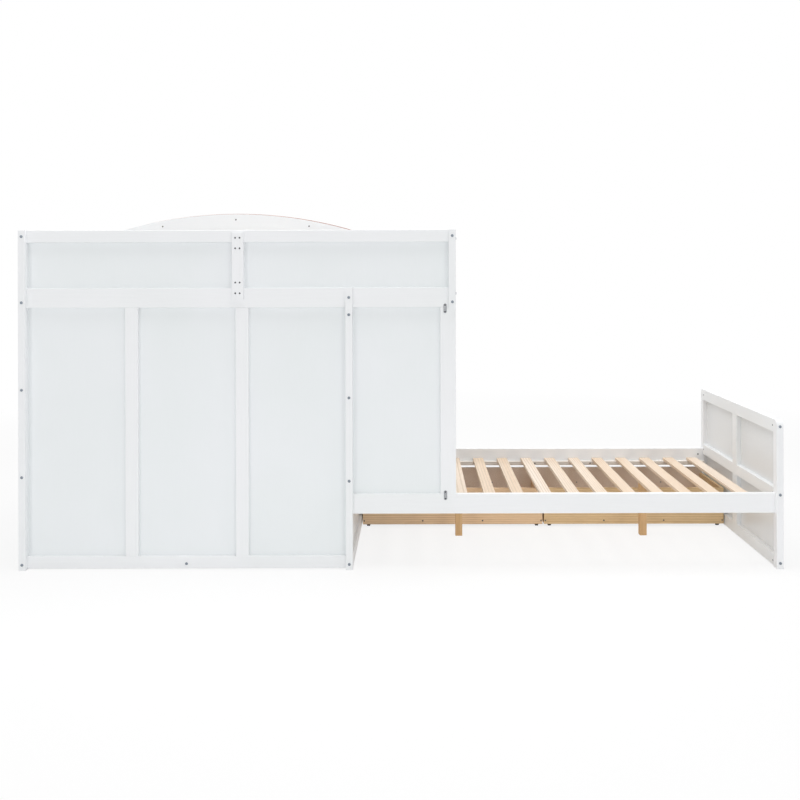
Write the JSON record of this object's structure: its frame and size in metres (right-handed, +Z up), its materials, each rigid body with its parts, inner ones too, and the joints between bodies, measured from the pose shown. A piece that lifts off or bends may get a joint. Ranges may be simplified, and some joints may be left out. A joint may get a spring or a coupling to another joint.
{
  "type": "bunk bed",
  "caption": "White panelled wooden bunk bed with a tall open storage bay, an L-shaped upper bunk, a low bed on rolling drawers, a ladder and an arched guard board.",
  "frame": {"origin": "on the floor, in the middle of the outer box of the bed", "axes": "+X along the bed towards the tall end, -Y out of the front where the drawers open, +Y out of the rear wall, +Z up"},
  "size_m": [3.49, 1.056, 1.688],
  "materials": {
    "painted_white_wood": "satin white paint on solid wood",
    "painted_white_board": "satin white paint on board",
    "dusty_rose_moulding": "matt dusty rose paint",
    "raw_fibre_board": "uncoated board",
    "pine_slat": "planed pale pine",
    "pine_leg": "planed pine",
    "pine_ledge": "planed pine",
    "drawer_pine": "planed warm pine",
    "drawer_pine_yellow": "planed yellow pine",
    "drawer_bottom_board": "uncoated thin board",
    "zinc_steel": "zinc plated",
    "black_steel": "blackened steel",
    "black_plastic": "moulded black plastic"
  },
  "bodies": {
    "bed_frame": {"arch_board": "painted_white_board", "arch_moulding": "dusty_rose_moulding", "arch_screws": "zinc_steel", "barrel_nuts": "zinc_steel", "base_board": "raw_fibre_board", "base_frame": "painted_white_wood", "footboard_panels": "painted_white_board", "footboard_posts": "painted_white_wood", "footboard_rails": "painted_white_wood", "frame_bolts": "black_steel", "front_guard_frame": "painted_white_wood", "front_guard_panels": "painted_white_board", "guard_batten_screws": "zinc_steel", "ladder_posts": "painted_white_wood", "ladder_rungs": "painted_white_wood", "ledge_screws": "zinc_steel", "left_end_panels": "painted_white_board", "left_end_posts": "painted_white_wood", "left_end_rails": "painted_white_wood", "lower_side_rails": "painted_white_wood", "lower_slats": "pine_slat", "mending_plates": "zinc_steel", "partition_blocks": "painted_white_wood", "partition_panels": "painted_white_board", "partition_posts": "painted_white_wood", "partition_rails": "painted_white_wood", "plate_screws": "zinc_steel", "rear_guard_batten": "painted_white_wood", "rear_guard_frame": "painted_white_wood", "rear_guard_panels": "painted_white_board", "rear_infill_panel": "painted_white_board", "rear_support_post": "painted_white_wood", "rear_wall_battens": "painted_white_wood", "rear_wall_panels": "painted_white_board", "slat_ledges": "pine_ledge", "slat_support_legs": "pine_leg", "upper_cross_beam": "painted_white_wood", "upper_end_panel": "painted_white_board", "upper_end_posts": "painted_white_wood", "upper_end_rails": "painted_white_wood", "upper_side_rails": "painted_white_wood", "upper_slats": "pine_slat"},
    "near_drawer": {"near_drawer_back": "drawer_pine", "near_drawer_bottom": "drawer_bottom_board", "near_drawer_castor_frames": "zinc_steel", "near_drawer_front": "painted_white_board", "near_drawer_knobs": "painted_white_wood", "near_drawer_screws": "zinc_steel", "near_drawer_sides": "drawer_pine"},
    "near_drawer_rear_wheel_pair": {"near_drawer_rear_wheels": "black_plastic"},
    "near_drawer_front_wheel_pair": {"near_drawer_front_wheels": "black_plastic"},
    "far_drawer": {"far_drawer_back": "drawer_pine_yellow", "far_drawer_bottom": "drawer_bottom_board", "far_drawer_castor_frames": "zinc_steel", "far_drawer_front": "painted_white_board", "far_drawer_knobs": "painted_white_wood", "far_drawer_screws": "zinc_steel", "far_drawer_sides": "drawer_pine_yellow"},
    "far_drawer_rear_wheel_pair": {"far_drawer_rear_wheels": "black_plastic"},
    "far_drawer_front_wheel_pair": {"far_drawer_front_wheels": "black_plastic"}
  },
  "joints": [
    {"name": "near_drawer_slide", "type": "slide", "parent": "bed_frame", "child": "near_drawer", "axis": [0, -1, 0], "range_m": [0, 0.34]},
    {"name": "far_drawer_slide", "type": "slide", "parent": "bed_frame", "child": "far_drawer", "axis": [0, -1, 0], "range_m": [0, 0.34]},
    {"name": "near_drawer_rear_wheels_roll", "type": "hinge", "parent": "near_drawer", "child": "near_drawer_rear_wheel_pair", "pos_m": [-0.2635, -0.159, 0.012], "axis": [1, 0, 0], "range_deg": [0, 1623.5]},
    {"name": "near_drawer_front_wheels_roll", "type": "hinge", "parent": "near_drawer", "child": "near_drawer_front_wheel_pair", "pos_m": [-0.2635, -0.467, 0.012], "axis": [1, 0, 0], "range_deg": [0, 1623.5]},
    {"name": "far_drawer_rear_wheels_roll", "type": "hinge", "parent": "far_drawer", "child": "far_drawer_rear_wheel_pair", "pos_m": [-1.2265, -0.159, 0.012], "axis": [1, 0, 0], "range_deg": [0, 1623.5]},
    {"name": "far_drawer_front_wheels_roll", "type": "hinge", "parent": "far_drawer", "child": "far_drawer_front_wheel_pair", "pos_m": [-1.2265, -0.467, 0.012], "axis": [1, 0, 0], "range_deg": [0, 1623.5]}
  ],
  "couplings": [
    {"joint": "near_drawer_rear_wheels_roll", "follows": "near_drawer_slide", "rad_per_m": 83.333},
    {"joint": "near_drawer_front_wheels_roll", "follows": "near_drawer_slide", "rad_per_m": 83.333},
    {"joint": "far_drawer_rear_wheels_roll", "follows": "far_drawer_slide", "rad_per_m": 83.333},
    {"joint": "far_drawer_front_wheels_roll", "follows": "far_drawer_slide", "rad_per_m": 83.333}
  ]
}
